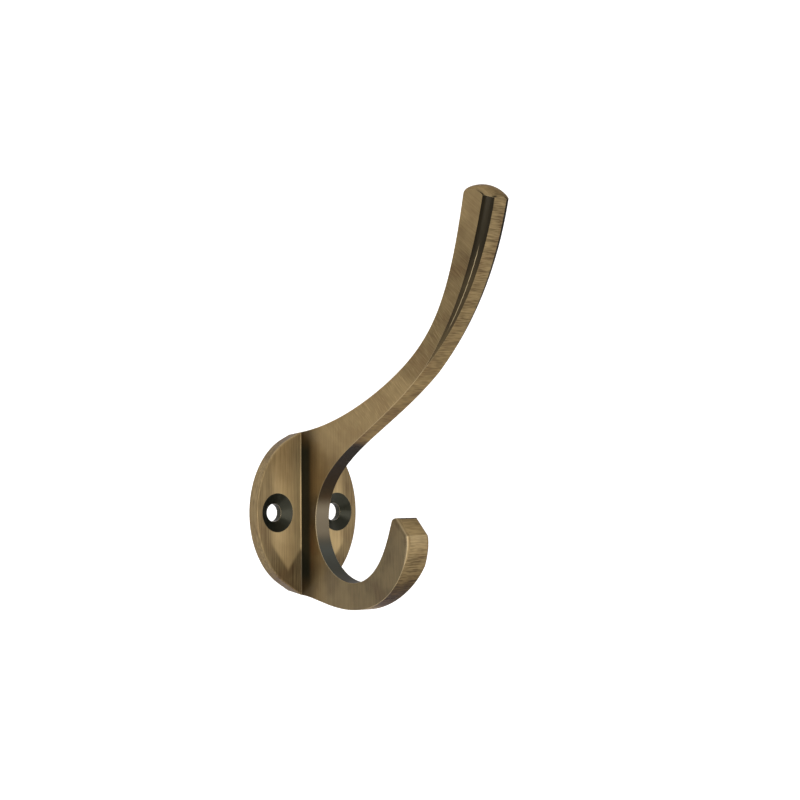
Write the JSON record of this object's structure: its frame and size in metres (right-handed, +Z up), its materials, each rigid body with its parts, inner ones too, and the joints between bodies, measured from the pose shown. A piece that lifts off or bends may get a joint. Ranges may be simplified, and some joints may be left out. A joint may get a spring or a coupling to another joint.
{
  "type": "coat hook",
  "caption": "Cast hat and coat hook with an oval screw plate, an upright blade, a long flared upper arm and a short upturned lower hook.",
  "frame": {"origin": "centre of the screw plate's flat back face, which lies on the wall", "axes": "+Z up along the wall, +Y into the wall, the hook reaches out towards -Y, +X across the plate"},
  "size_m": [0.03, 0.0681, 0.0929],
  "materials": {
    "antique_brass": "blackened, brushed back by hand and lacquered"
  },
  "bodies": {
    "root": {"hook_casting": "antique_brass"}
  },
  "joints": []
}
